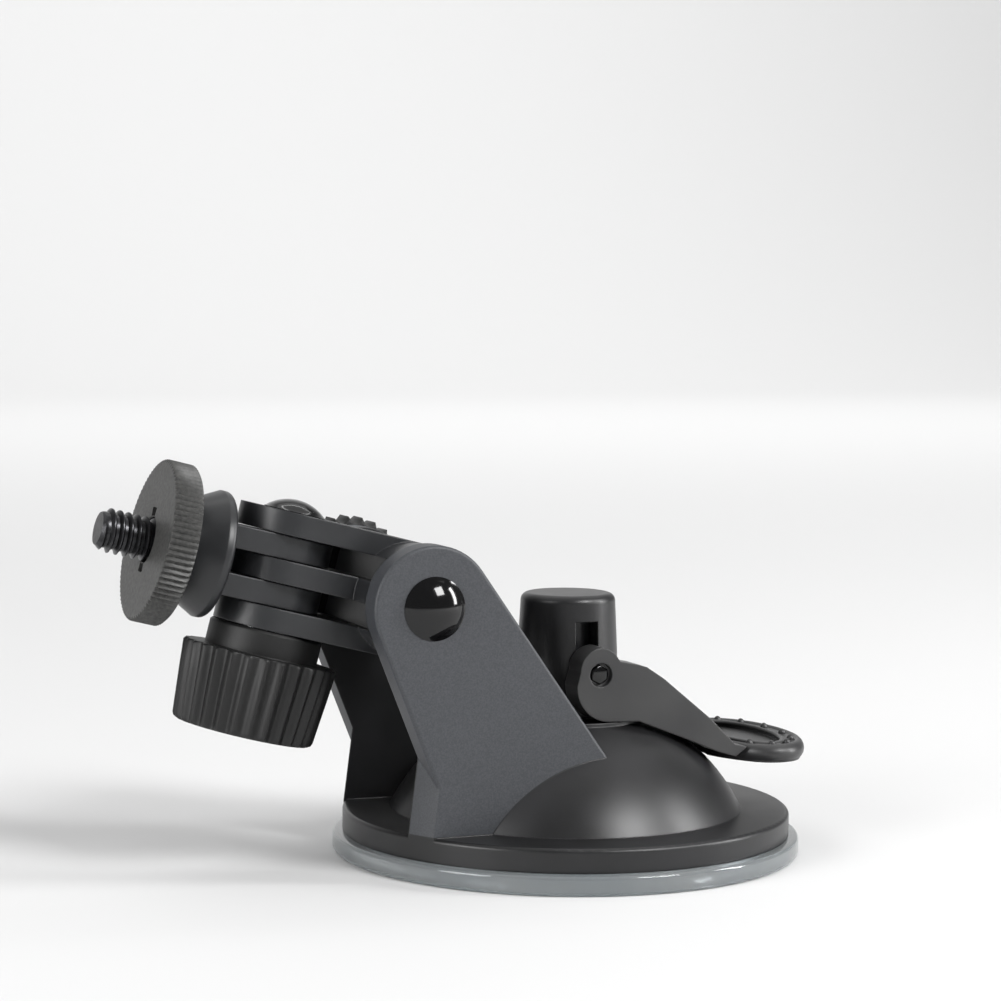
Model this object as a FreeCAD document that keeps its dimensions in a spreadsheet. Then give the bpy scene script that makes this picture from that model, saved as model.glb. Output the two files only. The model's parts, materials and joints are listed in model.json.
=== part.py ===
import FreeCAD, Part
import math
import os
import Sketcher

# Lever-locked suction mount for a small in-vehicle camera.
# Frame: Z up from the surface the cup grips, origin on the cup's axis, the arm reaches towards -X,
# the locking lever towards +X, and the plane y = 0 is the plane of symmetry.
# Everything on the arm is drawn in the arm's own frame: origin on the tilt pivot, -X along the arm,
# Z along the swivel axis. Its Placement then lifts it by the tilt angle.

DIMS = {
    # how far a cutting shape runs past the solid, and the room round parts that turn in a recess
    "over": 1.0,
    "side_room": 0.1,
    "shank_room": 0.3,
    # suction cup
    "cup_radius": 35.5,
    "cup_rim_height": 3.0,
    "cup_rim_inner": 33.0,
    "cup_lift": 3.3,
    "cup_wall": 2.2,
    "cup_flat": 9.0,
    "cup_shoulder": 25.0,
    # base housing
    "flange_radius": 34.0,
    "flange_top": 6.5,
    "flange_edge": 0.6,
    "dome_radius": 30.0,
    "dome_drop": 7.0,
    "dome_wall": 2.6,
    "ceiling": 18.0,
    "seat_radius": 12.6,
    "seat_top": 20.8,
    "post_radius": 7.6,
    "post_top_radius": 7.2,
    "post_top": 39.1,
    "post_edge": 1.2,
    "post_roof": 2.6,
    "post_bore": 4.5,
    "post_knee": 30.0,
    "slot_half": 1.8,
    "slot_low": 22.8,
    "slot_high": 35.3,
    # the two ears
    "ear_outer": 18.35,
    "ear_inner": 14.15,
    "ear_round": 9.0,
    "ear_front_lean": 35.5,
    "ear_back_lean": 22.1,
    "ear_low": 5.0,
    "foot_low": 4.0,
    "foot_high": 22.0,
    "foot_near": 20.0,
    "foot_top_radius": 31.3,
    "foot_draft_top": 31.0,
    "ear_edge": 0.5,
    "pivot_reach": 28.7,
    "pivot_height": 39.5,
    "pivot_bore": 2.6,
    # stem, spring and washer
    "stem_radius": 4.35,
    "stem_top": 36.2,
    "stem_foot_thick": 1.5,
    "spring_radius": 6.8,
    "spring_wire": 0.7,
    "spring_turns": 4.5,
    "washer_thick": 0.8,
    "washer_outer": 9.0,
    "washer_inner": 4.9,
    # lever
    "pin_height": 28.0,
    "pin_radius": 1.5,
    "pin_half": 12.1,
    "pin_recess": 1.8,
    "pin_recess_floor": 11.6,
    "lever_half": 12.5,
    "lever_gap": 8.0,
    "lever_cut_end": 19.7,
    "hub_left": 3.3,
    "hub_round": 3.55,
    "cam_round": 5.45,
    "cam_shift": 1.6,
    "paddle_centre": 29.6,
    "paddle_half": 8.2,
    "paddle_wide": 14.3,
    "paddle_end": 5.0,
    "paddle_top": 16.0,
    "paddle_low": 13.6,
    "dish_half": 4.6,
    "dish_wide": 11.3,
    "dish_end": 3.0,
    "dish_depth": 0.7,
    "relief_gap": 0.4,
    "relief_radius": 12.8,
    "relief_low": 10.0,
    "cam_gap": 0.15,
    # the lever's side outline: its belly from the seat to the toe, then its back up to the hub
    "belly_first": 6.4,
    "belly_second": 9.7,
    "belly_second_height": 19.5,
    "belly_third": 14.8,
    "belly_third_height": 17.5,
    "belly_fourth": 19.6,
    "belly_fourth_height": 15.5,
    "toe": 22.6,
    "toe_height": 14.6,
    "arm_tip": 24.6,
    "back_first": 22.5,
    "back_first_height": 16.5,
    "back_second": 18.4,
    "back_second_height": 20.5,
    "back_third": 10.4,
    "back_third_height": 27.0,
    "crest_end": 7.5,
    "crest_end_height": 28.9,
    "crest_start": 6.2,
    "crest_start_height": 29.3,
    "step_end": 3.1,
    "step_end_height": 29.9,
    "step_start": 2.5,
    "step_rise": 2.8,
    "hub_rise": 0.5,
    # fasteners shared by tilt and swivel
    "bolt_radius": 2.5,
    "head_radius": 4.6,
    "head_height": 1.9,
    "nut_flats": 4.0,
    "nut_thick": 4.0,
    "nut_bore": 2.58,
    "ring_radius": 5.5,
    "ring_thick": 0.8,
    "nut_stand": 0.4,
    # tilt wheel
    "wheel_low": 18.55,
    "wheel_high": 23.6,
    "wheel_radius": 10.2,
    "scallop_radius": 0.8,
    "scallop_out": 0.25,
    "wheel_bore_room": 0.2,
    "scallop_count": 28,
    # arm
    "tilt": 14.0,
    "arm_half": 8.6,
    "arm_wide": 8.0,
    "prong_gap": 0.15,
    "hub_half": 14.0,
    "swivel_reach": 17.5,
    "slot_depth": 4.4,
    # swivel knob
    "collar_radius": 8.3,
    "collar_top": 8.75,
    "knob_top": 12.4,
    "knob_low": 24.1,
    "knob_top_radius": 11.4,
    "knob_low_radius": 10.45,
    "knob_edge": 0.8,
    "flute_half": 0.6,
    "flute_depth": 0.6,
    "flute_count": 28,
    "bolt_reach": 20.0,
    # camera head
    "tongue_wide": 6.6,
    "disc_back": 27.6,
    "disc_radius": 9.3,
    "disc_full": 29.0,
    "neck_face": 33.0,
    "neck_radius": 7.2,
    "disc_edge": 0.8,
    # tripod stud and lock wheel
    "stud_radius": 3.175,
    "stud_root": 28.8,
    "stud_tip": 45.4,
    "stud_point": 0.7,
    "stud_neck": 3.0,
    "stud_step": 38.2,
    "stud_flange": 4.8,
    "stud_flange_thick": 1.6,
    "lock_back": 33.7,
    "lock_front": 38.0,
    "lock_radius": 11.8,
    "lock_bore": 3.35,
    "lock_edge": 0.4,
    "knurl_depth": 0.4,
    "knurl_count": 84,
    "notch_offset": 3.8,
    "notch_radius": 0.65,
    "notch_depth": 1.0,
}


doc = FreeCAD.newDocument("suction_mount")
sheet = doc.addObject("Spreadsheet::Sheet", "dims")
for row, (alias, value) in enumerate(DIMS.items(), start=1):
    sheet.set(f"A{row}", alias)
    sheet.set(f"B{row}", str(value))
    sheet.setAlias(f"B{row}", alias)
doc.recompute()

PARTS = []


def cells(formula):
    """A formula over the sheet's aliases, written as FreeCAD reads it."""
    for alias in sorted(DIMS, key=len, reverse=True):
        formula = formula.replace(f"@{alias}", f"<<dims>>.{alias}")
    return formula


def number(formula):
    """The value of such a formula."""
    value = sheet.evalExpression(cells(formula))
    return float(getattr(value, "Value", value))


def new_body(name):
    """A sub-part's body. Its label names its file."""
    body = doc.addObject("PartDesign::Body", name)
    body.Label = name
    PARTS.append(body)
    return body


def origin_feature(body, role):
    return next(f for f in body.Origin.OriginFeatures if f.Role == role)


def new_sketch(body, name, plane, lift=None):
    """A sketch on one of the body's origin planes, lifted off it by a formula."""
    sketch = body.newObject("Sketcher::SketchObject", name)
    sketch.AttachmentSupport = (origin_feature(body, plane), [""])
    sketch.MapMode = "FlatFace"
    if lift:
        sketch.AttachmentOffset = FreeCAD.Placement(
            FreeCAD.Vector(0, 0, number(lift)), FreeCAD.Rotation()
        )
        sketch.setExpression("AttachmentOffset.Base.z", cells(lift))
    return sketch


def pin_point(sketch, geometry, end, x, y):
    """Holds one end of a sketch line at two formulas."""
    for kind, axis, formula in (("DistanceX", -2, x), ("DistanceY", -1, y)):
        value = number(formula)
        if abs(value) < 1e-9:
            sketch.addConstraint(Sketcher.Constraint("PointOnObject", geometry, end, axis))
            continue
        index = sketch.addConstraint(Sketcher.Constraint(kind, -1, 1, geometry, end, value))
        sketch.setExpression(f"Constraints[{index}]", cells(formula))


def arc_between(first, last, radius, turn):
    """The short arc from first to last. turn is 1 anticlockwise and -1 clockwise."""
    chord = last - first
    half = chord.Length / 2
    side = FreeCAD.Vector(-chord.y, chord.x, 0).normalize() * turn
    centre = (first + last) / 2 + side * math.sqrt(max(radius**2 - half**2, 0))
    ends = (first, last) if turn > 0 else (last, first)
    angles = [math.atan2(point.y - centre.y, point.x - centre.x) for point in ends]
    circle = Part.Circle(centre, FreeCAD.Vector(0, 0, 1), radius)
    return Part.ArcOfCircle(circle, angles[0], angles[1])


def draw_loop(sketch, path):
    """A closed outline. Each stop is (x, y), or (x, y, radius, turn) where an arc arrives at it."""
    places = [FreeCAD.Vector(number(stop[0]), number(stop[1]), 0) for stop in path]
    ends = []
    for index, stop in enumerate(path):
        start = places[index - 1]
        if len(stop) == 2:
            geometry = sketch.addGeometry(Part.LineSegment(start, places[index]))
            ends.append((geometry, 1, 2))
            continue
        radius, turn = stop[2], stop[3]
        arc = arc_between(start, places[index], number(radius), turn)
        geometry = sketch.addGeometry(arc)
        ends.append((geometry, 1, 2) if turn > 0 else (geometry, 2, 1))
        hold = sketch.addConstraint(Sketcher.Constraint("Radius", geometry, number(radius)))
        sketch.setExpression(f"Constraints[{hold}]", cells(radius))
    for index, (geometry, _, last) in enumerate(ends):
        following, first, _ = ends[(index + 1) % len(ends)]
        sketch.addConstraint(Sketcher.Constraint("Coincident", geometry, last, following, first))
    for (geometry, _, last), stop in zip(ends, path):
        pin_point(sketch, geometry, last, stop[0], stop[1])


def draw_circle(sketch, x, y, radius):
    centre = FreeCAD.Vector(number(x), number(y), 0)
    circle = Part.Circle(centre, FreeCAD.Vector(0, 0, 1), number(radius))
    geometry = sketch.addGeometry(circle)
    pin_point(sketch, geometry, 3, x, y)
    hold = sketch.addConstraint(Sketcher.Constraint("Radius", geometry, number(radius)))
    sketch.setExpression(f"Constraints[{hold}]", cells(radius))


def rectangle(x0, x1, y0, y1):
    return [(x0, y0), (x1, y0), (x1, y1), (x0, y1)]


def turned(body, name, sketch, axis="V_Axis", kind="PartDesign::Revolution"):
    """A full turn of a sketch about its own axis."""
    feature = body.newObject(kind, name)
    feature.Profile = sketch
    feature.ReferenceAxis = (sketch, [axis])
    feature.Angle = 360
    doc.recompute()
    return feature


def raised(body, name, sketch, length, kind="PartDesign::Pad", both=False, back=False):
    """A pad or pocket of a sketch, by a formula for its length."""
    feature = body.newObject(kind, name)
    feature.Profile = sketch
    feature.SideType = "Symmetric" if both else "One side"
    feature.Reversed = back
    feature.Length = number(length)
    feature.setExpression("Length", cells(length))
    doc.recompute()
    return feature


def cut(body, name, sketch, length, both=False, back=False):
    """A pocket, which has to take material away."""
    before = body.Shape.Volume
    feature = raised(body, name, sketch, length, "PartDesign::Pocket", both, back)
    if not body.Shape.Volume < before - 1e-6:
        raise RuntimeError(f"{name} cut nothing")
    return feature


def mirrored(body, name, features):
    """The features again on the other side of y = 0."""
    mirror = body.newObject("PartDesign::Mirrored", name)
    mirror.Originals = features
    mirror.MirrorPlane = (origin_feature(body, "XZ_Plane"), [""])
    body.Tip = mirror
    doc.recompute()
    return mirror


def around(body, name, features, axis, count):
    """The features repeated evenly about one of the body's origin axes."""
    pattern = body.newObject("PartDesign::PolarPattern", name)
    pattern.Originals = features
    pattern.Axis = (origin_feature(body, axis), [""])
    pattern.Angle = 360
    pattern.Occurrences = int(number(count))
    pattern.setExpression("Occurrences", cells(count))
    body.Tip = pattern
    doc.recompute()
    return pattern


def soften(body, name, radius, wanted):
    """A fillet on the tip's edges that wanted(edge) picks."""
    base = body.Tip
    picked = [f"Edge{i}" for i, edge in enumerate(base.Shape.Edges, start=1) if wanted(edge)]
    fillet = body.newObject("PartDesign::Fillet", name)
    fillet.Base = (base, picked)
    fillet.Radius = number(radius)
    fillet.setExpression("Radius", cells(radius))
    body.Tip = fillet
    doc.recompute()
    return fillet


def on_arm(body):
    """Puts a body drawn in the arm's frame on the tilt pivot."""
    pivot = FreeCAD.Vector(-number("@pivot_reach"), 0, number("@pivot_height"))
    turn = FreeCAD.Rotation(FreeCAD.Vector(0, 1, 0), number("@tilt"))
    body.Placement = FreeCAD.Placement(pivot, turn)
    body.setExpression("Placement.Base.x", cells("-@pivot_reach"))
    body.setExpression("Placement.Base.z", cells("@pivot_height"))
    body.setExpression("Placement.Rotation.Angle", cells("@tilt"))


def ring(name, axis_plane, inner, outer, low, high):
    """A plain ring about the body's Z axis, or its Y axis when drawn on the XZ plane's normal."""
    body = new_body(name)
    sketch = new_sketch(body, f"{name}_faces", axis_plane, low)
    draw_circle(sketch, "0", "0", outer)
    draw_circle(sketch, "0", "0", inner)
    raised(body, f"{name}_pad", sketch, f"{high} - ({low})")
    return body


# --- suction cup: one soft disc, its middle drawn up by the locked stem ---


def make_suction_cup():
    body = new_body("suction_cup")
    sketch = new_sketch(body, "cup_section", "XZ_Plane")
    draw_loop(
        sketch,
        [
            ("0", "@cup_lift"),
            ("@cup_flat", "@cup_lift"),
            ("@cup_rim_inner", "0"),
            ("@cup_radius", "0"),
            ("@cup_radius", "@cup_rim_height"),
            ("@cup_shoulder", "@cup_rim_height"),
            ("@cup_flat", "@cup_lift + @cup_wall"),
            ("0", "@cup_lift + @cup_wall"),
        ],
    )
    turned(body, "cup_turn", sketch)


# --- base housing: flange, hollow dome, cam seat, guide post and two ears in one moulding ---


def housing_section(sketch):
    dome_foot = "sqrt(@dome_radius ^ 2 - (@flange_top + @dome_drop) ^ 2)"
    dome_at_seat = "sqrt(@dome_radius ^ 2 - @seat_radius ^ 2) - @dome_drop"
    draw_loop(
        sketch,
        [
            ("0", "@cup_rim_height"),
            ("@flange_radius", "@cup_rim_height"),
            ("@flange_radius", "@flange_top - @flange_edge"),
            ("@flange_radius - @flange_edge", "@flange_top", "@flange_edge", 1),
            (dome_foot, "@flange_top"),
            ("@seat_radius", dome_at_seat, "@dome_radius", 1),
            ("@seat_radius", "@seat_top"),
            ("@post_radius", "@seat_top"),
            ("@post_radius", "@post_knee"),
            ("@post_top_radius", "@post_top - @post_edge"),
            ("@post_top_radius - @post_edge", "@post_top", "@post_edge", 1),
            ("0", "@post_top"),
        ],
    )


def hollow_section(sketch):
    inner = "(@dome_radius - @dome_wall)"
    at_ceiling = f"sqrt({inner} ^ 2 - (@ceiling + @dome_drop) ^ 2)"
    at_floor = f"sqrt({inner} ^ 2 - (@cup_rim_height + @dome_drop) ^ 2)"
    draw_loop(
        sketch,
        [
            ("0", "@cup_rim_height"),
            (at_floor, "@cup_rim_height"),
            (at_ceiling, "@ceiling", inner, 1),
            ("@post_bore", "@ceiling"),
            ("@post_bore", "@post_top - @post_roof"),
            ("0", "@post_top - @post_roof"),
        ],
    )


def ear_outline(sketch):
    """Two straight edges leaning in to a round top about the pivot."""
    front_x = "(-@pivot_reach + @ear_round * cos(@ear_front_lean))"
    front_z = "(@pivot_height + @ear_round * sin(@ear_front_lean))"
    back_x = "(-@pivot_reach - @ear_round * cos(@ear_back_lean))"
    back_z = "(@pivot_height - @ear_round * sin(@ear_back_lean))"
    front_low = f"{front_x} + ({front_z} - @ear_low) * tan(@ear_front_lean)"
    back_low = f"{back_x} + ({back_z} - @ear_low) * tan(@ear_back_lean)"
    draw_loop(
        sketch,
        [
            (back_low, "@ear_low"),
            (front_low, "@ear_low"),
            (front_x, front_z),
            ("-@pivot_reach", "@pivot_height + @ear_round", "@ear_round", 1),
            (back_x, back_z, "@ear_round", 1),
        ],
    )


def make_base_housing():
    body = new_body("base_housing")
    section = new_sketch(body, "housing_section", "XZ_Plane")
    housing_section(section)
    turned(body, "housing_turn", section)

    ear_thick = "@ear_outer - @ear_inner"
    foot = new_sketch(body, "foot_outline", "XZ_Plane", "@ear_inner")
    draw_loop(
        foot,
        rectangle("-@flange_radius", "-@foot_near", "@foot_low", "@foot_high"),
    )
    foot_pad = raised(body, "foot_pad", foot, ear_thick)
    mirrored(body, "foot_pair", [foot_pad])
    trim = new_sketch(body, "foot_trim", "XZ_Plane")
    beyond = "@cup_radius + @ear_round"
    draw_loop(
        trim,
        [
            ("@flange_radius", "0"),
            (beyond, "0"),
            (beyond, "@foot_draft_top"),
            ("@foot_top_radius", "@foot_draft_top"),
            ("@flange_radius", "@flange_top"),
        ],
    )
    turned(body, "foot_round", trim, kind="PartDesign::Groove")

    ear = new_sketch(body, "ear_outline", "XZ_Plane", "@ear_inner")
    ear_outline(ear)
    ear_pad = raised(body, "ear_pad", ear, ear_thick)
    mirrored(body, "ear_pair", [ear_pad])

    hollow = new_sketch(body, "hollow_section", "XZ_Plane")
    hollow_section(hollow)
    turned(body, "hollow", hollow, kind="PartDesign::Groove")

    slot = new_sketch(body, "slot_outline", "XZ_Plane")
    draw_loop(slot, rectangle("-@slot_half", "@slot_half", "@slot_low", "@slot_high"))
    cut(body, "post_slots", slot, "2 * @lever_gap", both=True)

    bore = new_sketch(body, "pivot_circle", "XZ_Plane")
    draw_circle(bore, "-@pivot_reach", "@pivot_height", "@pivot_bore")
    cut(body, "pivot_bores", bore, "4 * @ear_outer", both=True)

    outer, low = number("@ear_outer"), number("@seat_top")

    def ear_rim(edge):
        box = edge.BoundBox
        flat = box.YLength < 1e-6 and abs(abs(box.YMin) - outer) < 1e-6
        large = box.ZMax > low and edge.Length > 4 * number("@ear_edge")
        bore_edge = edge.Length < 2.1 * math.pi * number("@pivot_bore")
        return flat and large and not (bore_edge and edge.isClosed())

    soften(body, "ear_edges", "@ear_edge", ear_rim)


# --- stem, its washer and its spring ---


def make_cup_stem():
    body = new_body("cup_stem")
    foot_low = "@cup_lift + @cup_wall"
    foot_top = "@cup_lift + @cup_wall + @stem_foot_thick"
    sketch = new_sketch(body, "stem_section", "XZ_Plane")
    draw_loop(
        sketch,
        [
            ("0", foot_low),
            ("@cup_flat", foot_low),
            ("@cup_flat", foot_top),
            ("@stem_radius", foot_top),
            ("@stem_radius", "@stem_top"),
            ("0", "@stem_top"),
        ],
    )
    turned(body, "stem_turn", sketch)
    cross = new_sketch(body, "stem_cross_hole", "XZ_Plane")
    draw_circle(cross, "0", "@pin_height", "@pin_radius + @side_room")
    cut(body, "stem_hole", cross, "4 * @stem_radius", both=True)


def make_spring_washer():
    ring(
        "spring_washer",
        "XY_Plane",
        "@washer_inner",
        "@washer_outer",
        "@ceiling - @washer_thick",
        "@ceiling",
    )


def make_stem_spring():
    body = new_body("stem_spring")
    low = "@cup_lift + @cup_wall + @stem_foot_thick + @spring_wire"
    high = "@ceiling - @washer_thick - @spring_wire"
    sketch = new_sketch(body, "wire_section", "XZ_Plane")
    draw_circle(sketch, "@spring_radius", low, "@spring_wire")
    helix = body.newObject("PartDesign::AdditiveHelix", "spring_coil")
    helix.Profile = sketch
    helix.ReferenceAxis = (sketch, ["V_Axis"])
    helix.Mode = "height-turns-angle"
    helix.Height = number(f"{high} - ({low})")
    helix.setExpression("Height", cells(f"{high} - ({low})"))
    helix.Turns = number("@spring_turns")
    helix.setExpression("Turns", cells("@spring_turns"))
    doc.recompute()


# --- lever with its eccentric cam, and the pin it turns on ---


def oval(centre, half, wide, end):
    """A four-centre oval: half across, wide along, with ends of a small radius."""
    reach = f"({wide} - {end})"
    flank = f"(({reach} ^ 2 + {half} ^ 2 - {end} ^ 2) / (2 * ({half} - {end})))"
    slope = f"({flank} - {end})"
    x = f"({end} * ({flank} - {half}) / {slope})"
    y = f"({reach} + {end} * {reach} / {slope})"
    return [
        (f"{centre} + {x}", f"-{y}", end, 1),
        (f"{centre} + {x}", y, flank, 1),
        (centre, wide, end, 1),
        (f"{centre} - {x}", y, end, 1),
        (f"{centre} - {x}", f"-{y}", flank, 1),
        (centre, f"-{wide}", end, 1),
    ]


def lever_outline(sketch):
    """The arms from the side. The cam's arc rolls down the seat as the lever lifts."""
    draw_loop(
        sketch,
        [
            ("@belly_first", "@seat_top"),
            ("@belly_second", "@belly_second_height"),
            ("@belly_third", "@belly_third_height"),
            ("@belly_fourth", "@belly_fourth_height"),
            ("@toe", "@toe_height"),
            ("@arm_tip", "@paddle_top"),
            ("@back_first", "@back_first_height"),
            ("@back_second", "@back_second_height"),
            ("@back_third", "@back_third_height"),
            ("@crest_end", "@crest_end_height"),
            ("@crest_start", "@crest_start_height"),
            ("@step_end", "@step_end_height"),
            ("@step_start", "@pin_height + @step_rise"),
            ("@hub_round - @hub_left", "@pin_height + @hub_rise + @hub_round", "@hub_round", 1),
            ("-@hub_left", "@pin_height + @hub_rise", "@hub_round", 1),
            ("@cam_shift - @cam_round", "@pin_height - @cam_shift"),
            ("@cam_shift", "@pin_height - @cam_shift - @cam_round", "@cam_round", 1),
        ],
    )


def relief_section(sketch):
    """The room that the lever leaves over the seat and the dome."""
    reach = "(@dome_radius + @relief_gap)"
    at_low = f"sqrt({reach} ^ 2 - (@relief_low + @dome_drop) ^ 2)"
    at_seat = f"sqrt({reach} ^ 2 - @relief_radius ^ 2) - @dome_drop"
    draw_loop(
        sketch,
        [
            ("0", "@relief_low"),
            (at_low, "@relief_low"),
            ("@relief_radius", at_seat, reach, 1),
            ("@relief_radius", "@seat_top + @cam_gap"),
            ("0", "@seat_top + @cam_gap"),
        ],
    )


def make_lever():
    body = new_body("lever")
    side = new_sketch(body, "lever_side", "XZ_Plane")
    lever_outline(side)
    raised(body, "lever_arms", side, "2 * @lever_half", both=True)

    gap_centre = "@lever_cut_end - @lever_gap"
    gap = new_sketch(body, "lever_gap", "XY_Plane")
    draw_loop(
        gap,
        [
            ("-@lever_half", "-@lever_gap"),
            (gap_centre, "-@lever_gap"),
            ("@lever_cut_end", "0", "@lever_gap", 1),
            (gap_centre, "@lever_gap", "@lever_gap", 1),
            ("-@lever_half", "@lever_gap"),
        ],
    )
    cut(body, "gap_between_arms", gap, "@post_top", back=True)

    paddle = new_sketch(body, "paddle_outline", "XY_Plane", "@paddle_low")
    draw_loop(paddle, oval("@paddle_centre", "@paddle_half", "@paddle_wide", "@paddle_end"))
    raised(body, "paddle", paddle, "@paddle_top - @paddle_low")

    dish = new_sketch(body, "dish_outline", "XY_Plane", "@paddle_top")
    draw_loop(dish, oval("@paddle_centre", "@dish_half", "@dish_wide", "@dish_end"))
    cut(body, "dish", dish, "@dish_depth")

    relief = new_sketch(body, "relief_section", "XZ_Plane")
    relief_section(relief)
    turned(body, "relief", relief, kind="PartDesign::Groove")

    cross = new_sketch(body, "pin_circle", "XZ_Plane")
    draw_circle(cross, "0", "@pin_height", "@pin_radius")
    cut(body, "pin_bore", cross, "4 * @lever_half", both=True)

    recess = new_sketch(body, "recess_circle", "XZ_Plane", "@pin_recess_floor")
    draw_circle(recess, "0", "@pin_height", "@pin_recess")
    recess_cut = cut(body, "pin_recess", recess, "@lever_half", back=True)
    mirrored(body, "pin_recesses", [recess_cut])


def make_lever_pin():
    body = new_body("lever_pin")
    sketch = new_sketch(body, "pin_face", "XZ_Plane")
    draw_circle(sketch, "0", "@pin_height", "@pin_radius")
    raised(body, "pin_rod", sketch, "2 * @pin_half", both=True)


# --- tilt joint: bolt, washer, scalloped wheel and its nut ---


def bolt_section(sketch, seat, reach):
    """A low domed head over a shank. seat is the face under the head."""
    crown = "((@head_radius ^ 2 + @head_height ^ 2) / (2 * @head_height))"
    draw_loop(
        sketch,
        [
            ("0", f"-({reach})"),
            ("@bolt_radius", f"-({reach})"),
            ("@bolt_radius", seat),
            ("@head_radius", seat),
            ("0", f"{seat} + @head_height", crown, 1),
        ],
    )


def make_tilt_bolt():
    body = new_body("tilt_bolt")
    sketch = new_sketch(body, "bolt_section", "XZ_Plane")
    bolt_section(sketch, "@ear_outer", "@wheel_high")
    turned(body, "bolt_turn", sketch)
    across(body)


def across(body):
    """Lays a body drawn about Z along -Y through the tilt pivot."""
    pivot = FreeCAD.Vector(-number("@pivot_reach"), 0, number("@pivot_height"))
    body.Placement = FreeCAD.Placement(pivot, FreeCAD.Rotation(FreeCAD.Vector(1, 0, 0), 90))
    body.setExpression("Placement.Base.x", cells("-@pivot_reach"))
    body.setExpression("Placement.Base.z", cells("@pivot_height"))


def make_tilt_washer():
    low = "-@ear_outer - @ring_thick"
    across(ring("tilt_washer", "XY_Plane", "@pivot_bore", "@ring_radius", low, "-@ear_outer"))


def hexagon(sketch, flats):
    """A hexagon with its flats facing +X and -X."""
    corner = f"({flats} / cos(30))"
    draw_loop(
        sketch,
        [
            (flats, f"{corner} / 2"),
            ("0", corner),
            (f"-{flats}", f"{corner} / 2"),
            (f"-{flats}", f"-{corner} / 2"),
            ("0", f"-{corner}"),
            (flats, f"-{corner} / 2"),
        ],
    )


def make_nut(name, low):
    """A plain hexagon nut whose lower face is at a formula."""
    body = new_body(name)
    sketch = new_sketch(body, f"{name}_outline", "XY_Plane", low)
    hexagon(sketch, "@nut_flats")
    draw_circle(sketch, "0", "0", "@nut_bore")
    raised(body, f"{name}_pad", sketch, "@nut_thick")
    return body


def make_tilt_knob():
    """The flat wheel outside the far ear, with the nut let into its outer face."""
    body = new_body("tilt_knob")
    outline = new_sketch(body, "wheel_outline", "XY_Plane", "-@wheel_high")
    draw_circle(outline, "0", "0", "@wheel_radius")
    draw_circle(outline, "0", "0", "@pivot_bore + @wheel_bore_room")
    raised(body, "wheel_pad", outline, "@wheel_high - @wheel_low")
    washer_room = new_sketch(body, "washer_room", "XY_Plane", "-@ear_outer - @ring_thick")
    draw_circle(washer_room, "0", "0", "@ring_radius + @side_room")
    cut(body, "washer_recess", washer_room, "@ring_thick", back=True)
    nut_room = new_sketch(body, "nut_room", "XY_Plane", "-@wheel_high")
    hexagon(nut_room, "@nut_flats")
    cut(body, "nut_recess", nut_room, "@nut_thick - @nut_stand", back=True)
    scallop = new_sketch(body, "scallop", "XY_Plane", "-@wheel_high")
    draw_circle(scallop, "@wheel_radius + @scallop_out", "0", "@scallop_radius")
    dip = cut(body, "scallop_cut", scallop, "@wheel_high", back=True)
    around(body, "scallops", [dip], "Z_Axis", "@scallop_count")
    across(body)


def make_tilt_nut():
    across(make_nut("tilt_nut", "-@wheel_high - @nut_stand"))


# --- swivel arm: a hub between the ears, and three prongs for the camera head's two tongues ---


PRONG = "((2 * @arm_half - 4 * @prong_gap) / 5)"


def tongue_room(row):
    """The low and high faces of the two rooms between the prongs."""
    middle = f"({PRONG} / 2)"
    inner = middle
    outer = f"({middle} + {PRONG} + 2 * @prong_gap)"
    return (inner, outer) if row > 0 else (f"-{outer}", f"-{inner}")


def make_swivel_arm():
    body = new_body("swivel_arm")
    top = new_sketch(body, "arm_outline", "XY_Plane")
    tip = "-@swivel_reach - @arm_wide"
    draw_loop(
        top,
        [
            ("0", "-@arm_wide"),
            ("0", "@arm_wide"),
            ("-@swivel_reach", "@arm_wide"),
            (tip, "0", "@arm_wide", 1),
            ("-@swivel_reach", "-@arm_wide", "@arm_wide", 1),
        ],
    )
    raised(body, "arm_block", top, "2 * @arm_half", both=True)
    hub = new_sketch(body, "hub_circle", "XZ_Plane")
    draw_circle(hub, "0", "0", "@arm_half")
    raised(body, "arm_hub", hub, "2 * @hub_half", both=True)
    for row, side in ((1, "upper"), (-1, "lower")):
        low, high = tongue_room(row)
        room = new_sketch(body, f"{side}_room", "XZ_Plane")
        draw_loop(room, rectangle(f"{tip} - @over", "-@slot_depth", low, high))
        cut(body, f"{side}_room_cut", room, "2 * @hub_half + @side_room", both=True)
    pivot = new_sketch(body, "arm_pivot", "XZ_Plane")
    draw_circle(pivot, "0", "0", "@pivot_bore")
    cut(body, "arm_pivot_bore", pivot, "4 * @hub_half", both=True)
    bore = new_sketch(body, "swivel_circle", "XY_Plane")
    draw_circle(bore, "-@swivel_reach", "0", "@pivot_bore")
    cut(body, "swivel_bore", bore, "4 * @arm_half", both=True)

    on_arm(body)


def swivel_sketch(body, name, lift=None):
    """A sketch across the swivel axis, with its own origin on that axis."""
    sketch = new_sketch(body, name, "XY_Plane", lift)
    sketch.AttachmentOffset = FreeCAD.Placement(
        FreeCAD.Vector(-number("@swivel_reach"), 0, number(lift or "0")), FreeCAD.Rotation()
    )
    sketch.setExpression("AttachmentOffset.Base.x", cells("-@swivel_reach"))
    return sketch


def swivel_section(body, name):
    """A sketch through the swivel axis, which is its vertical axis."""
    sketch = new_sketch(body, name, "XZ_Plane")
    sketch.AttachmentOffset = FreeCAD.Placement(
        FreeCAD.Vector(-number("@swivel_reach"), 0, 0), FreeCAD.Rotation()
    )
    sketch.setExpression("AttachmentOffset.Base.x", cells("-@swivel_reach"))
    return sketch


def make_swivel_bolt():
    body = new_body("swivel_bolt")
    sketch = swivel_section(body, "bolt_section")
    bolt_section(sketch, "@arm_half", "@bolt_reach")
    turned(body, "bolt_turn", sketch)
    on_arm(body)


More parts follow.
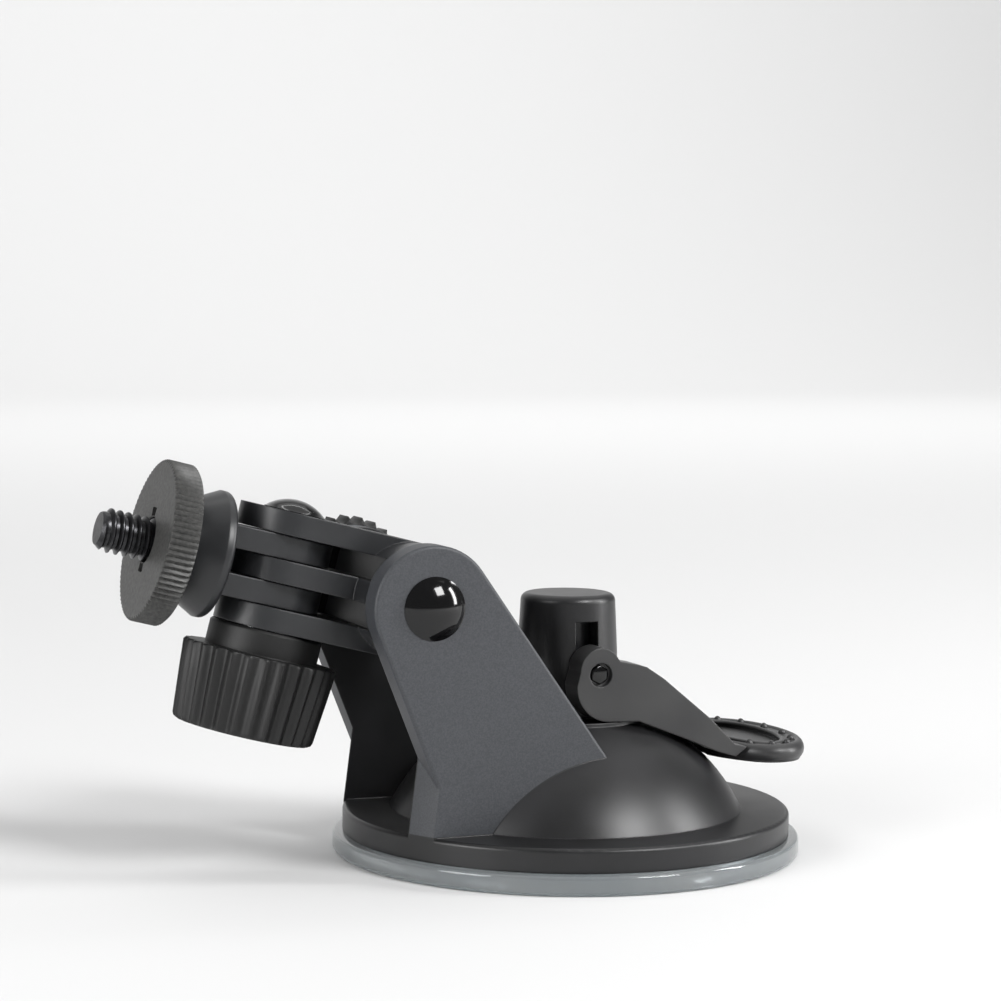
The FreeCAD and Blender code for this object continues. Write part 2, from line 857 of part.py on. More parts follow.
def make_swivel_washer():
    body = new_body("swivel_washer")
    sketch = swivel_sketch(body, "washer_faces", "-@arm_half - @ring_thick")
    draw_circle(sketch, "0", "0", "@ring_radius")
    draw_circle(sketch, "0", "0", "@pivot_bore")
    raised(body, "washer_pad", sketch, "@ring_thick")
    on_arm(body)


def make_swivel_nut():
    body = new_body("swivel_nut")
    sketch = swivel_sketch(body, "nut_faces", "-@arm_half - @ring_thick - @nut_thick")
    hexagon(sketch, "@nut_flats")
    draw_circle(sketch, "0", "0", "@nut_bore")
    raised(body, "nut_pad", sketch, "@nut_thick")
    on_arm(body)


def make_swivel_knob():
    """A smooth collar over a long fluted grip. The nut and washer drop in from the top."""
    body = new_body("swivel_knob")
    nut_low = "-@arm_half - @ring_thick - @nut_thick"
    washer_low = "-@arm_half - @ring_thick"
    section = swivel_section(body, "knob_section")
    draw_loop(
        section,
        [
            ("@bolt_radius + @shank_room", "-@bolt_reach - @over"),
            ("0", "-@bolt_reach - @over"),
            ("0", "-@knob_low"),
            ("@knob_low_radius - @knob_edge", "-@knob_low"),
            ("@knob_low_radius", "-@knob_low + @knob_edge", "@knob_edge", 1),
            ("@knob_top_radius", "-@knob_top"),
            ("@collar_radius", "-@knob_top"),
            ("@collar_radius", "-@collar_top"),
            ("@ring_radius + @side_room", "-@collar_top"),
            ("@ring_radius + @side_room", washer_low),
            ("@bolt_radius + @shank_room", washer_low),
        ],
    )
    turned(body, "knob_turn", section)
    room = swivel_sketch(body, "nut_room", washer_low)
    hexagon(room, "@nut_flats")
    cut(body, "nut_recess", room, "@nut_thick")
    flute = swivel_section(body, "flute")
    draw_loop(
        flute,
        [
            ("@knob_low_radius - @flute_depth", "-@knob_low"),
            ("@knob_low_radius + @over", "-@knob_low"),
            ("@knob_top_radius + @over", "-@knob_top"),
            ("@knob_top_radius - @flute_depth", "-@knob_top"),
        ],
    )
    groove = cut(body, "flute_cut", flute, "2 * @flute_half", both=True)
    pattern = body.newObject("PartDesign::PolarPattern", "flutes")
    pattern.Originals = [groove]
    pattern.Axis = (section, ["V_Axis"])
    pattern.Angle = 360
    pattern.Occurrences = int(number("@flute_count"))
    pattern.setExpression("Occurrences", cells("@flute_count"))
    body.Tip = pattern
    doc.recompute()
    on_arm(body)


# --- camera head: two tongues, a bell, the tripod stud moulded in, and the wheel on the stud ---


def stud_root():
    """The stud's moulded-in flange and the start of its neck. The profile is read along -X."""
    return [
        ("-@stud_root", "0"),
        ("-@stud_root", "@stud_flange"),
        ("-@stud_root - @stud_flange_thick", "@stud_flange"),
        ("-@stud_root - @stud_flange_thick", "@stud_neck"),
    ]


def make_camera_head():
    body = new_body("camera_head")
    bell = new_sketch(body, "bell_section", "XZ_Plane")
    draw_loop(
        bell,
        [
            ("-@disc_back", "0"),
            ("-@disc_back", "@disc_radius - @disc_edge"),
            ("-@disc_back - @disc_edge", "@disc_radius", "@disc_edge", 1),
            ("-@disc_full", "@disc_radius"),
            ("-@neck_face", "@neck_radius"),
            ("-@neck_face", "0"),
        ],
    )
    turned(body, "bell_turn", bell, axis="H_Axis")
    outline = new_sketch(body, "tongue_outline", "XY_Plane")
    draw_loop(
        outline,
        [
            ("-@disc_full", "@tongue_wide"),
            ("-@disc_full", "-@tongue_wide"),
            ("-@swivel_reach", "-@tongue_wide"),
            ("-@swivel_reach + @tongue_wide", "0", "@tongue_wide", 1),
            ("-@swivel_reach", "@tongue_wide", "@tongue_wide", 1),
        ],
    )
    raised(body, "tongue_block", outline, f"3 * {PRONG} + 2 * @prong_gap", both=True)
    room = new_sketch(body, "middle_room", "XZ_Plane")
    middle = f"({PRONG} / 2 + @prong_gap)"
    draw_loop(room, rectangle("-@disc_back", "0", f"-{middle}", middle))
    cut(body, "middle_room_cut", room, "4 * @tongue_wide", both=True)
    bore = new_sketch(body, "head_circle", "XY_Plane")
    draw_circle(bore, "-@swivel_reach", "0", "@pivot_bore")
    cut(body, "head_bore", bore, "4 * @arm_half", both=True)
    cavity = new_sketch(body, "stud_room", "XZ_Plane")
    draw_loop(cavity, stud_root() + [("-@neck_face", "@stud_neck"), ("-@neck_face", "0")])
    turned(body, "stud_cavity", cavity, axis="H_Axis", kind="PartDesign::Groove")
    on_arm(body)


def make_tripod_stud():
    body = new_body("tripod_stud")
    section = new_sketch(body, "stud_section", "XZ_Plane")
    tip = [
        ("-@stud_step", "@stud_neck"),
        ("-@stud_step", "@stud_radius"),
        ("-@stud_tip + @stud_point", "@stud_radius"),
        ("-@stud_tip", "@stud_radius - @stud_point"),
        ("-@stud_tip", "0"),
    ]
    draw_loop(section, stud_root() + tip)
    turned(body, "stud_turn", section, axis="H_Axis")
    on_arm(body)


def make_lock_wheel():
    body = new_body("lock_wheel")
    section = new_sketch(body, "wheel_section", "XZ_Plane")
    draw_loop(
        section,
        [
            ("-@lock_back", "@lock_bore"),
            ("-@lock_back", "@lock_radius - @lock_edge"),
            ("-@lock_back - @lock_edge", "@lock_radius"),
            ("-@lock_front", "@lock_radius"),
            ("-@lock_front", "@lock_bore"),
        ],
    )
    turned(body, "wheel_turn", section, axis="H_Axis")
    tooth = new_sketch(body, "knurl_notch", "YZ_Plane", "-@lock_front - @over")
    draw_loop(
        tooth,
        [
            ("@lock_radius - @knurl_depth", "0"),
            ("@lock_radius + @knurl_depth", "@knurl_depth"),
            ("@lock_radius + @knurl_depth", "-@knurl_depth"),
        ],
    )
    groove = cut(body, "knurl_cut", tooth, "@lock_front - @lock_back + 2 * @over", back=True)
    around(body, "knurl", [groove], "X_Axis", "@knurl_count")
    for side in ("", "-"):
        name = "upper_notch" if side == "" else "lower_notch"
        notch = new_sketch(body, name, "YZ_Plane", "-@lock_front")
        draw_circle(notch, "0", f"{side}@notch_offset", "@notch_radius")
        cut(body, f"{name}_cut", notch, "@notch_depth", back=True)
    on_arm(body)


def check_document():
    """Stops on any failed object or bad shape."""
    doc.recompute()
    for item in doc.Objects:
        if {"Invalid", "Error"} & set(item.State):
            raise RuntimeError(f"{item.Label} is {item.State}")
    for body in PARTS:
        shape = body.Shape
        if shape.isNull() or not shape.isValid() or not shape.Solids:
            raise RuntimeError(f"{body.Label} has no valid shape")


def write_parts():
    os.makedirs("parts", exist_ok=True)
    for body in PARTS:
        body.Shape.exportStep(f"parts/{body.Label}.step")
        box = body.Shape.BoundBox
        size = f"{box.XLength:.2f} x {box.YLength:.2f} x {box.ZLength:.2f}"
        print(f"{body.Label}: {len(body.Shape.Solids)} solid, {body.Shape.Volume:.0f} mm3, {size}")


make_suction_cup()
make_base_housing()
make_cup_stem()
make_spring_washer()
make_stem_spring()
make_lever()
make_lever_pin()
make_tilt_bolt()
make_tilt_washer()
make_tilt_knob()
make_tilt_nut()
make_swivel_arm()
make_swivel_bolt()
make_swivel_washer()
make_swivel_knob()
make_swivel_nut()
make_camera_head()
make_tripod_stud()
make_lock_wheel()
check_document()
write_parts()
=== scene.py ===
import json
import math

import bmesh
import bpy
from mathutils import Matrix, Vector


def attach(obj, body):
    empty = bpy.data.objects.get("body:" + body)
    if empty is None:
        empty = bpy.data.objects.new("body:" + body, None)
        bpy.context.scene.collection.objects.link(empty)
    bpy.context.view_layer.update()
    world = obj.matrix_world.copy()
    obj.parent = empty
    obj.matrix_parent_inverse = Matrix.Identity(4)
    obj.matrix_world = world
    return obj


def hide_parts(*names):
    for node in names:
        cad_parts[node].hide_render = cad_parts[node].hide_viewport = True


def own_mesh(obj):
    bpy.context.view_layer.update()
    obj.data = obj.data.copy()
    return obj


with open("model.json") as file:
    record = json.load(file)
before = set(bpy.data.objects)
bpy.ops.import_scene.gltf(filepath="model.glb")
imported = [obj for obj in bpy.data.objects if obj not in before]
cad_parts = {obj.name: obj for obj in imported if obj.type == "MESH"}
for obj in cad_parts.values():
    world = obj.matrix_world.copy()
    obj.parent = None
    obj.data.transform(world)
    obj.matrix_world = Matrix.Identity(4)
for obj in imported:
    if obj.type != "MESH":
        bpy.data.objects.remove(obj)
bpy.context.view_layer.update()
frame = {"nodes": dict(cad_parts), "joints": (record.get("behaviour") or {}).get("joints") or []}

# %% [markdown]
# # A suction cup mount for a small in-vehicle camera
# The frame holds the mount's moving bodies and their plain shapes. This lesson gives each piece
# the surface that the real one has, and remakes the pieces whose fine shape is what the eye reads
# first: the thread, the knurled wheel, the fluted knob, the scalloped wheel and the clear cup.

MM = 0.001
joints = {joint["name"]: joint for joint in frame["joints"]}

# %% [markdown]
# ## Colours and nodes
# Paint charts give colours as sRGB hex values, but a renderer adds light in linear values, so one
# function turns the first into the second. A second helper adds any shader node with its settings
# and links in one call, which keeps each material short enough to read. A colour ramp's stops are
# settings as well, given as (place, colour) pairs.


# %% Colour and node helpers
def linear(hex_colour):
    """An sRGB hex colour as linear red, green, blue and a full alpha."""
    parts = [int(hex_colour[i : i + 2], 16) / 255 for i in (1, 3, 5)]
    return [p / 12.92 if p <= 0.04045 else ((p + 0.055) / 1.055) ** 2.4 for p in parts] + [1.0]


def add_node(material, kind, settings=None, stops=(), **inputs):
    """Adds a node. An input is a value, or (node, output name) for a link."""
    node = material.node_tree.nodes.new(kind)
    for key, value in (settings or {}).items():
        setattr(node, key, value)
    for index, (spot, colour) in enumerate(stops):
        element = node.color_ramp.elements[index]
        element.color, element.position = linear(colour), spot
    for key, value in inputs.items():
        slot = int(key[1:]) if key[1:].isdigit() else key.replace("_", " ")
        socket = node.inputs[slot]
        if isinstance(value, tuple) and isinstance(value[0], bpy.types.Node):
            material.node_tree.links.new(value[0].outputs[value[1]], socket)
        else:
            socket.default_value = value
    return node


def new_material(name):
    """A material with its Principled shader, and the node that gives object coordinates."""
    material = bpy.data.materials.new(name)
    material.use_nodes = True
    shader = material.node_tree.nodes["Principled BSDF"]
    place = add_node(material, "ShaderNodeTexCoord")
    return material, shader, place


def link(material, node, output, shader, socket):
    material.node_tree.links.new(node.outputs[output], shader.inputs[socket])


# %% [markdown]
# ## Moulded black ABS
# The arm, knobs and lever are black ABS from a polished mould that has been lightly vapour blasted.
# The eye sees nearly black plastic with a soft, wide shine. Two noises make it: a slow cloud for
# the uneven gloss that handling leaves, and a fine grain for the mould's skin. Real edges are never
# sharp, so a Bevel node rounds the shading across each edge by a third of a millimetre.


# %% Moulded plastic
EDGE_ROUND, GLOSS_WANDER = 0.3 * MM, 0.06
LOW, HIGH = 0.35, 0.65  # the noise values where the darker colour ends and the lighter one starts


def moulded_plastic(name, dark, light, rough, grain_mm, grain_depth):
    """Moulded ABS. grain_mm is the size of the mould's grain, grain_depth how strongly it shows."""
    material, shader, place = new_material(name)
    where = (place, "Object")
    cloud = add_node(material, "ShaderNodeTexNoise", Vector=where, Scale=90.0, Detail=3.0)
    fine = 1 / (grain_mm * MM)
    grain = add_node(material, "ShaderNodeTexNoise", Vector=where, Scale=fine, Detail=2.0)
    stops = [(LOW, dark), (HIGH, light)]
    colour = add_node(material, "ShaderNodeValToRGB", stops=stops, Fac=(cloud, "Fac"))
    link(material, colour, "Color", shader, "Base Color")
    gloss = add_node(
        material,
        "ShaderNodeMapRange",
        Value=(cloud, "Fac"),
        To_Min=rough - GLOSS_WANDER,
        To_Max=rough + GLOSS_WANDER,
    )
    link(material, gloss, "Result", shader, "Roughness")
    rounded = add_node(material, "ShaderNodeBevel", {"samples": 6}, Radius=EDGE_ROUND)
    relief = add_node(
        material,
        "ShaderNodeBump",
        Height=(grain, "Fac"),
        Strength=grain_depth,
        Distance=0.05 * MM,
        Normal=(rounded, "Normal"),
    )
    link(material, relief, "Normal", shader, "Normal")
    shader.inputs["IOR"].default_value = 1.53
    return material, shader, place, gloss


black_abs = moulded_plastic("satin_black_abs", "#1f2022", "#292a2c", 0.37, 0.4, 0.12)[0]
grip_abs = moulded_plastic("grip_black_abs", "#060606", "#0c0c0c", 0.5, 0.35, 0.25)[0]
lever_abs = moulded_plastic("lever_black_abs", "#2d2d2e", "#383838", 0.4, 0.35, 0.2)[0]
print("plastics:", black_abs.name, grip_abs.name, lever_abs.name)

# %% [markdown]
# ## Two finishes in one moulding
# The housing is one piece, but its mould isn't finished the same all over. The flat ears are spark
# eroded, a fine random pitting that scatters light to a dusty grey. The dome, flange and post are
# polished. A point belongs to an ear when it is further out than the inner faces of the ears, above
# the flange, and off the dome's sphere, and three comparisons of its object coordinates say so.

# %% Housing plastic
EAR_INNER, FLANGE_TOP = 14.3 * MM, 6.7 * MM
DOME_CENTRE, DOME_RADIUS = (0, 0, -7.0 * MM), 30.0 * MM
OFF_DOME, PIT_SIZE, EAR_ROUGHER = 0.1 * MM, 0.22 * MM, 0.14
housing_abs, housing_shader, housing_place, housing_gloss = moulded_plastic(
    "two_finish_black_abs", "#131314", "#1c1c1e", 0.37, 0.4, 0.12
)
OVER, TIMES = {"operation": "GREATER_THAN"}, {"operation": "MULTIPLY"}
axes = add_node(housing_abs, "ShaderNodeSeparateXYZ", Vector=(housing_place, "Object"))
across = add_node(housing_abs, "ShaderNodeMath", {"operation": "ABSOLUTE"}, i0=(axes, "Y"))
from_dome = add_node(
    housing_abs,
    "ShaderNodeVectorMath",
    {"operation": "DISTANCE"},
    i0=(housing_place, "Object"),
    i1=DOME_CENTRE,
)
outside = add_node(housing_abs, "ShaderNodeMath", OVER, i0=(across, "Value"), i1=EAR_INNER)
above = add_node(housing_abs, "ShaderNodeMath", OVER, i0=(axes, "Z"), i1=FLANGE_TOP)
clear = DOME_RADIUS + OFF_DOME
off_dome = add_node(housing_abs, "ShaderNodeMath", OVER, i0=(from_dome, "Value"), i1=clear)
upper = add_node(
    housing_abs, "ShaderNodeMath", TIMES, i0=(outside, "Value"), i1=(above, "Value")
)
on_ear = add_node(
    housing_abs, "ShaderNodeMath", TIMES, i0=(upper, "Value"), i1=(off_dome, "Value")
)
pitting = add_node(
    housing_abs,
    "ShaderNodeTexNoise",
    Vector=(housing_place, "Object"),
    Scale=1 / PIT_SIZE,
    Detail=3.0,
)
dusty = add_node(
    housing_abs,
    "ShaderNodeValToRGB",
    stops=[(LOW, "#34363a"), (HIGH, "#404246")],
    Fac=(pitting, "Fac"),
)
polished = housing_shader.inputs["Base Color"].links[0].from_node
both = add_node(
    housing_abs,
    "ShaderNodeMix",
    {"data_type": "RGBA"},
    i0=(on_ear, "Value"),
    i6=(polished, "Color"),
    i7=(dusty, "Color"),
)
link(housing_abs, both, 2, housing_shader, "Base Color")
ear_rough = add_node(
    housing_abs,
    "ShaderNodeMath",
    {"operation": "MULTIPLY_ADD"},
    i0=(on_ear, "Value"),
    i1=EAR_ROUGHER,
    i2=(housing_gloss, "Result"),
)
link(housing_abs, ear_rough, "Value", housing_shader, "Roughness")
print("housing:", housing_abs.name, len(housing_abs.node_tree.nodes), "nodes")

# %% [markdown]
# ## Metals and their coats
# The bolt heads and the lever's pin are steel under a gloss black coat. The stud is black oxide
# steel, a little oily. The nuts, washers and spring are bright zinc plate. The lock wheel is zinc
# alloy under a dull black powder coat, which handling has greyed, so it looks the lightest of all.


# %% Metals
def coated_metal(name, dark, light, rough, spread, mottle_mm, metallic=1.0):
    """Metal whose colour and gloss wander over patches of mottle_mm."""
    material, shader, place = new_material(name)
    where, fine = (place, "Object"), 1 / (mottle_mm * MM)
    patch = add_node(material, "ShaderNodeTexNoise", Vector=where, Scale=fine, Detail=4.0)
    stops = [(0.3, dark), (0.7, light)]
    colour = add_node(material, "ShaderNodeValToRGB", stops=stops, Fac=(patch, "Fac"))
    link(material, colour, "Color", shader, "Base Color")
    gloss = add_node(
        material,
        "ShaderNodeMapRange",
        Value=(patch, "Fac"),
        To_Min=rough + spread,
        To_Max=rough - spread,
    )
    link(material, gloss, "Result", shader, "Roughness")
    relief = add_node(
        material, "ShaderNodeBump", Height=(patch, "Fac"), Strength=0.15, Distance=0.02 * MM
    )
    link(material, relief, "Normal", shader, "Normal")
    shader.inputs["Metallic"].default_value = metallic
    return material


gloss_black = coated_metal("gloss_black_coat", "#050506", "#080809", 0.1, 0.02, 3.0, metallic=0.0)
oxide_steel = coated_metal("black_oxide_steel", "#2a2a2c", "#444446", 0.3, 0.06, 0.8, metallic=0.8)
bright_zinc = coated_metal("bright_zinc_plate", "#a9abad", "#c9cacb", 0.25, 0.08, 1.0)
powder_black = coated_metal(
    "black_powder_coat", "#333333", "#4c4c4a", 0.44, 0.05, 0.5, metallic=0.0
)
print("metals:", gloss_black.name, oxide_steel.name, bright_zinc.name, powder_black.name)

# %% [markdown]
# ## Clear soft PVC
# A suction cup is plasticised PVC, clear with a faint cold tint that shows where it is thick.
# It is modelled as a closed solid, so light bends on the way in and on the way out.

# %% Clear PVC
clear_pvc, pvc_shader, pvc_place = new_material("clear_soft_pvc")
pvc_cloud = add_node(clear_pvc, "ShaderNodeTexNoise", Vector=(pvc_place, "Object"), Scale=60.0)
pvc_tint = add_node(
    clear_pvc,
    "ShaderNodeValToRGB",
    stops=[(LOW, "#dde6ea"), (HIGH, "#eaf0f2")],
    Fac=(pvc_cloud, "Fac"),
)
link(clear_pvc, pvc_tint, "Color", pvc_shader, "Base Color")
pvc_gloss = add_node(
    clear_pvc, "ShaderNodeMapRange", Value=(pvc_cloud, "Fac"), To_Min=0.06, To_Max=0.14
)
link(clear_pvc, pvc_gloss, "Result", pvc_shader, "Roughness")
pvc_shader.inputs["Transmission Weight"].default_value = 0.8
pvc_shader.inputs["IOR"].default_value = 1.53
print("clear:", clear_pvc.name)

# %% [markdown]
# ## The frame's own nodes
# A node whose plain shape is already right keeps it, and only gets a finish. The nodes that finer
# pieces replace further down get theirs as well, so no part of the frame is left grey. The shapes
# of the frame's meshes are never changed, only their material slots.

# %% Finishes on the frame's nodes
FINISHES = {
    "base_housing": housing_abs,
    "cup_stem": black_abs,
    "spring_washer": bright_zinc,
    "stem_spring": bright_zinc,
    "lever": lever_abs,
    "lever_pin": gloss_black,
    "tilt_bolt": gloss_black,
    "tilt_washer": bright_zinc,
    "tilt_knob": grip_abs,
    "tilt_nut": bright_zinc,
    "swivel_arm": black_abs,
    "swivel_bolt": gloss_black,
    "swivel_washer": bright_zinc,
    "swivel_knob": grip_abs,
    "swivel_nut": bright_zinc,
    "camera_head": black_abs,
    "tripod_stud": oxide_steel,
    "lock_wheel": powder_black,
    "suction_cup": clear_pvc,
}
for node_name, finish in FINISHES.items():
    mesh = frame["nodes"][node_name].data
    mesh.materials.clear()
    mesh.materials.append(finish)
print("finished nodes:", len(FINISHES))

# %% [markdown]
# ## Building and seating pieces
# The arm leans back by the tilt angle, so a piece on the arm is easiest to draw lying straight,
# with its axis along Z, and then turn into place with one matrix. `seat` does that, makes the
# normals point outwards, marks the crisp edges, and hands the piece to the body that carries it.

# %% Places on the mount
PIVOT = Vector(joints["arm_tilt"]["pos_m"])
SWIVEL = Vector(joints["head_swivel"]["axis"])
REACH = Vector(joints["lock_wheel_turn"]["axis"])
TILT = math.atan2(SWIVEL.x, SWIVEL.z)
TO_ARM = Matrix.Translation(PIVOT) @ Matrix.Rotation(TILT, 4, "Y")
ALONG_REACH = TO_ARM @ Matrix.Rotation(-math.pi / 2, 4, "Y")
SWIVEL_REACH = (Vector(joints["head_swivel"]["pos_m"]) - PIVOT).dot(REACH)
ON_SWIVEL = TO_ARM @ Matrix.Translation((-SWIVEL_REACH, 0, 0))
ON_TILT = Matrix.Translation(PIVOT) @ Matrix.Rotation(math.pi / 2, 4, "X")
print("tilt", round(math.degrees(TILT), 2), "swivel reach", round(SWIVEL_REACH / MM, 2), "mm")


# %% Seating a piece
def seat(name, bm, matrix, material, body, replaced=(), crisp=35):
    """Turns a finished bmesh into a piece that rides on its body."""
    bmesh.ops.transform(bm, matrix=matrix, verts=bm.verts)
    bmesh.ops.recalc_face_normals(bm, faces=bm.faces)
    for face in bm.faces:
        face.smooth = True
    for edge in bm.edges:
        edge.smooth = len(edge.link_faces) == 2 and edge.calc_face_angle(0) < math.radians(crisp)
    mesh = bpy.data.meshes.new(name)
    bm.to_mesh(mesh)
    bm.free()
    mesh.materials.append(material)
    piece = bpy.data.objects.new(name, mesh)
    bpy.context.scene.collection.objects.link(piece)
    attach(piece, body)
    if replaced:
        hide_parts(*replaced)
    print(name, len(mesh.polygons), "faces, rides on", body)
    return piece


# %% [markdown]
# ## Turned and fluted shapes
# Many pieces here are turned: a section swept a full turn about an axis, which is `spin`. The grips
# are nearly turned, but their edge is cut with flutes. Those are turned too, in a fixed number of
# steps for each flute, and then every point is drawn towards the axis by a wave that repeats.


# %% Spin and flutes
def turn(section, steps=96):
    """A closed section of (radius, height) in mm, spun a full turn about Z."""
    bm = bmesh.new()
    corners = [bm.verts.new((r * MM, 0, z * MM)) for r, z in section]
    edges = [bm.edges.new((corners[i - 1], corners[i])) for i in range(len(corners))]
    bmesh.ops.spin(
        bm,
        geom=corners + edges,
        cent=(0, 0, 0),
        axis=(0, 0, 1),
        dvec=(0, 0, 0),
        angle=math.tau,
        steps=steps,
        use_merge=True,
        use_duplicate=False,
    )
    bmesh.ops.remove_doubles(bm, verts=bm.verts, dist=1e-6)
    on_axis = [edge for edge in bm.edges if edge.is_wire]
    bmesh.ops.delete(bm, geom=on_axis, context="EDGES")
    return bm


def arc(centre, radius, first, last, steps=6):
    """Points on an arc, angles in degrees, for a section."""
    angles = [math.radians(first + (last - first) * i / steps) for i in range(steps + 1)]
    return [(centre[0] + radius * math.cos(a), centre[1] + radius * math.sin(a)) for a in angles]


def fluted(rings, flutes, wave, steps=4):
    """A turned section of (radius, height, dip) in mm, with each point drawn in by its dip."""
    bm = turn([ring[:2] for ring in rings], flutes * steps)
    dips = {(round(radius, 2), round(height, 2)): dip for radius, height, dip in rings}
    for vert in bm.verts:
        radius, height = vert.co.xy.length / MM, vert.co.z / MM
        dip = dips[(round(radius, 2), round(height, 2))]
        if dip:
            share = math.atan2(vert.co.y, vert.co.x) / math.tau * flutes
            vert.co.xy *= 1 - dip / radius * wave(share % 1)
    return bm


def round_flute(share):
    """A smooth scoop: 0 on the crest, 1 in the valley."""
    return (1 - math.cos(math.tau * share)) / 2


def cusped(share):
    """A round scallop that meets the next one in a point."""
    return math.sin(math.pi * share)


def sharp_knurl(share):
    """A straight-sided tooth with a narrow crest."""
    return 1 - abs(2 * share - 1)


# %% [markdown]
# ## The tripod stud
# A camera thread is 1/4 inch 20 UNC: 6.35 mm over the crests, one turn each 1.27 mm, flanks at 60
# degrees. One pitch of that profile is spun about the axis while it climbs by one pitch a turn, so
# the turns join into one helix. The first turn is brought down to a cone so that it starts easily.

# %% Stud with its thread
THREAD_MAJOR = 3.175
THREAD_PITCH = 1.27
THREAD_DEPTH = 0.62
THREAD_START, STUD_TIP = 34.5, 45.4
TIP_RADIUS, TIP_SLOPE = 2.35, 0.75


def make_thread():
    steps = 40
    turns = math.ceil((STUD_TIP - THREAD_START) / THREAD_PITCH) + 1
    minor = THREAD_MAJOR - THREAD_DEPTH
    root, crest = 0.2, 0.15
    flank = (THREAD_PITCH - 2 * root - crest) / 2
    rise, fall = root + flank, root + flank + crest
    tooth = [(minor, 0), (minor, root), (THREAD_MAJOR, rise), (THREAD_MAJOR, fall)]
    tooth += [(minor, fall + flank), (minor, THREAD_PITCH)]
    bm = bmesh.new()
    chain = [bm.verts.new((r * MM, 0, (THREAD_START - THREAD_PITCH + z) * MM)) for r, z in tooth]
    edges = [bm.edges.new(pair) for pair in zip(chain, chain[1:])]
    bmesh.ops.spin(
        bm,
        geom=chain + edges,
        cent=(0, 0, 0),
        axis=(0, 0, 1),
        dvec=(0, 0, THREAD_PITCH * MM / steps),
        angle=math.tau * turns,
        steps=steps * turns,
        use_merge=False,
        use_duplicate=False,
    )
    bmesh.ops.remove_doubles(bm, verts=bm.verts, dist=2e-6)
    for height, side in ((THREAD_START, -1), (STUD_TIP, 1)):
        bmesh.ops.bisect_plane(
            bm,
            geom=bm.verts[:] + bm.edges[:] + bm.faces[:],
            dist=1e-7,
            plane_co=(0, 0, height * MM),
            plane_no=(0, 0, side),
            clear_outer=True,
        )
        open_edges = [edge for edge in bm.edges if edge.is_boundary]
        rim = [edge for edge in open_edges if abs(edge.verts[0].co.z - height * MM) < 1e-6]
        bmesh.ops.holes_fill(bm, edges=rim, sides=0)
    for vert in bm.verts:
        room = (TIP_RADIUS + TIP_SLOPE * (STUD_TIP - vert.co.z / MM)) * MM
        radius = vert.co.xy.length
        if radius > room:
            vert.co.xy *= room / radius
    return bm


thread_bm = make_thread()
seat("stud_thread", thread_bm, ALONG_REACH, oxide_steel, "head", ["tripod_stud"])

# %% [markdown]
# ## The lock wheel
# It runs on the stud and clamps the camera. Its edge has a straight knurl, close to 84 teeth a
# turn, and two small notches beside the bore take a pin spanner.

# %% Lock wheel
LOCK_BACK, LOCK_FRONT, LOCK_RADIUS, LOCK_BORE = 33.7, 38.0, 11.8, 3.35
NOTCH_REACH, NOTCH_HALF, NOTCH_DEPTH = 1.4, 0.95, 1.2
KNURL_COUNT, KNURL_DEPTH = 84, 0.46


def make_lock_wheel():
    knurl, bore_edge = KNURL_DEPTH, 0.15
    rings = [
        (LOCK_BORE, LOCK_BACK, 0),
        (LOCK_RADIUS - 1.0, LOCK_BACK, 0),
        (LOCK_RADIUS - 0.5, LOCK_BACK + 0.1, 0),
        (LOCK_RADIUS, LOCK_BACK + 0.5, knurl),
        (LOCK_RADIUS, LOCK_FRONT - 0.3, knurl),
        (LOCK_RADIUS - 0.2, LOCK_FRONT - 0.05, knurl * 0.8),
        (LOCK_RADIUS - 0.45, LOCK_FRONT, knurl * 0.3),
        (LOCK_RADIUS - 0.9, LOCK_FRONT, 0),
        (LOCK_BORE + NOTCH_REACH, LOCK_FRONT, 0),
        (LOCK_BORE + bore_edge, LOCK_FRONT, 0),
        (LOCK_BORE, LOCK_FRONT - bore_edge, 0),
    ]
    bm = fluted(rings, KNURL_COUNT, sharp_knurl)
    notch = []
    for face in bm.faces:
        centre = face.calc_center_median()
        on_face = abs(centre.z / MM - LOCK_FRONT) < 0.01
        past_bore = centre.xy.length / MM - LOCK_BORE
        if on_face and bore_edge < past_bore < NOTCH_REACH and abs(centre.y) < NOTCH_HALF * MM:
            notch.append(face)
    pushed = bmesh.ops.extrude_face_region(bm, geom=notch)
    down = [item for item in pushed["geom"] if isinstance(item, bmesh.types.BMVert)]
    bmesh.ops.translate(bm, verts=down, vec=(0, 0, -NOTCH_DEPTH * MM))
    bmesh.ops.delete(bm, geom=notch, context="FACES")
    return bm


seat(
    "lock_wheel_knurled",
    make_lock_wheel(),
    ALONG_REACH,
    powder_black,
    "stud_wheel",
    ["lock_wheel"],
    crisp=28,
)

# %% [markdown]
# ## The swivel grip and the tilt wheel
# Both are moulded hand grips over a steel nut. The long one has 28 soft flutes that follow its
# taper up to a smooth collar. The flat one is a scalloped disc, dished round its nut.

# %% Swivel grip
COLLAR_TOP, GRIP_TOP, GRIP_LOW = -8.75, -12.4, -24.1
COLLAR_RADIUS, SHANK_ROOM, FLUTE_COUNT = 8.3, 2.8, 28


